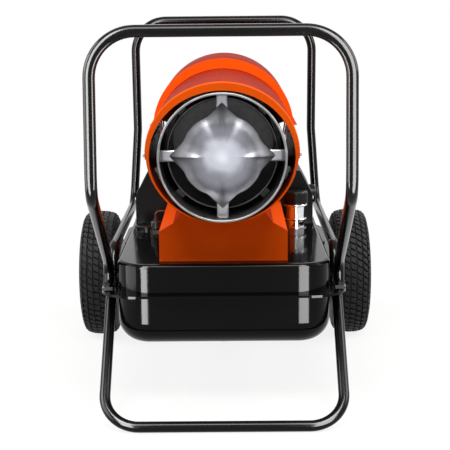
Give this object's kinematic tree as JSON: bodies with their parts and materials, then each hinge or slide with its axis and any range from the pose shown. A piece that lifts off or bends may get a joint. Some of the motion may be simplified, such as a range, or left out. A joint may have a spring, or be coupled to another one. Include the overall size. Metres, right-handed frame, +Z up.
{
  "type": "forced air heater",
  "caption": "Wheeled forced air heater with a round steel barrel, a flame deflector in its mouth, a two-piece fuel tank, tube handles and a stand loop.",
  "frame": {"origin": "on the floor under the middle of the outline", "axes": "+Z up, +Y from the hot air outlet towards the rear guard, +X to the side with the filler and the controls"},
  "size_m": [0.5906, 0.9141, 0.65],
  "materials": {
    "body_paint": "gloss orange powder coat",
    "tank_enamel": "gloss black powder coat",
    "tube_enamel": "gloss black powder coat on steel tube",
    "chrome_plate": "bright chrome plate",
    "stainless": "satin pressed stainless sheet",
    "aluminised": "aluminised sheet, slightly heat dulled",
    "zinc": "bright zinc plate",
    "tyre_rubber": "moulded rubber",
    "black_plastic": "moulded black plastic",
    "seal_rubber": "nitrile rubber",
    "hose_rubber": "black rubber hose",
    "brass": "turned brass",
    "cast_aluminium": "die cast",
    "cast_iron": "machined casting",
    "ceramic": "glazed ceramic",
    "clear_lens": "clear lens",
    "red_plastic": "moulded red plastic",
    "amber_nylon": "natural nylon",
    "copper": "drawn copper tube",
    "felt": "pressed felt",
    "board": "coated circuit board"
  },
  "bodies": {
    "heater": {"tank_bottom_half": "tank_enamel", "tank_top_half": "tank_enamel", "filler_neck": "chrome_plate", "filler_strainer": "zinc", "drain_plug": "zinc", "fuel_gauge_body": "black_plastic", "fuel_gauge_lens": "clear_lens", "fuel_filter": "amber_nylon", "fuel_line": "copper", "air_hose": "hose_rubber", "upper_shell": "body_paint", "lower_shell": "body_paint", "shell_screws": "zinc", "chamber_outer": "aluminised", "chamber_inner": "stainless", "chamber_back_plate": "aluminised", "chamber_spacers": "zinc", "flame_deflector": "stainless", "burner_head": "stainless", "nozzle_adaptor": "cast_aluminium", "nozzle": "brass", "spark_electrodes": "ceramic", "photocell": "black_plastic", "photocell_bracket": "zinc", "motor": "cast_iron", "motor_bracket": "zinc", "pump_body": "cast_iron", "pump_cover": "cast_aluminium", "intake_filter": "felt", "pressure_gauge": "chrome_plate", "rear_guard": "tube_enamel", "side_cover_left": "black_plastic", "side_cover_right": "black_plastic", "ignition_module": "black_plastic", "control_board": "board", "thermostat": "black_plastic", "switch_housing": "black_plastic", "cord_gland": "black_plastic", "front_handle": "tube_enamel", "rear_handle": "tube_enamel", "wheel_frame": "tube_enamel", "frame_bolts": "zinc", "axle": "zinc", "axle_spacers": "zinc", "axle_washers": "zinc", "cotter_pins": "zinc"},
    "wheel_left": {"tyre_left": "tyre_rubber", "rim_left": "tank_enamel"},
    "wheel_right": {"tyre_right": "tyre_rubber", "rim_right": "tank_enamel"},
    "fan_rotor": {"fan": "cast_aluminium", "motor_shaft": "zinc", "pump_rotor": "cast_iron", "pump_vanes": "black_plastic"},
    "cap_seal": {"cap_gasket": "seal_rubber"},
    "cap": {"fuel_cap": "black_plastic"},
    "knob": {"thermostat_knob": "black_plastic"},
    "rocker": {"switch_rocker": "red_plastic"},
    "float_arm": {"fuel_gauge_float": "amber_nylon"},
    "pointer": {"fuel_gauge_pointer": "red_plastic"}
  },
  "joints": [
    {"name": "wheel_left_spin", "type": "hinge", "parent": "heater", "child": "wheel_left", "pos_m": [-0.255, 0.29, 0.128], "axis": [1, 0, 0], "continuous": true},
    {"name": "wheel_right_spin", "type": "hinge", "parent": "heater", "child": "wheel_right", "pos_m": [0.255, 0.29, 0.128], "axis": [1, 0, 0], "continuous": true},
    {"name": "fan_spin", "type": "hinge", "parent": "heater", "child": "fan_rotor", "pos_m": [0, 0.165, 0.442], "axis": [0, 1, 0], "continuous": true},
    {"name": "cap_lift", "type": "slide", "parent": "heater", "child": "cap_seal", "axis": [0, 0, 1], "range_m": [0, 0.03]},
    {"name": "cap_turn", "type": "hinge", "parent": "cap_seal", "child": "cap", "pos_m": [0.137, 0.13, 0.31], "axis": [0, 0, 1], "range_deg": [0, 90]},
    {"name": "thermostat_turn", "type": "hinge", "parent": "heater", "child": "knob", "pos_m": [0.173, 0.32, 0.286], "axis": [1, 0, 0], "range_deg": [0, 270]},
    {"name": "switch_rock", "type": "hinge", "parent": "heater", "child": "rocker", "pos_m": [0.171, 0.245, 0.286], "axis": [0, 0, 1], "range_deg": [0, 16]},
    {"name": "float_rise", "type": "hinge", "parent": "heater", "child": "float_arm", "pos_m": [-0.146, 0.104, 0.235], "axis": [-1, 0, 0], "range_deg": [0, 60]},
    {"name": "pointer_turn", "type": "hinge", "parent": "heater", "child": "pointer", "pos_m": [-0.146, 0.104, 0.255], "axis": [0, 0, -1], "range_deg": [0, 90]}
  ],
  "couplings": [
    {"joint": "pointer_turn", "follows": "float_rise", "ratio": 1.5}
  ]
}
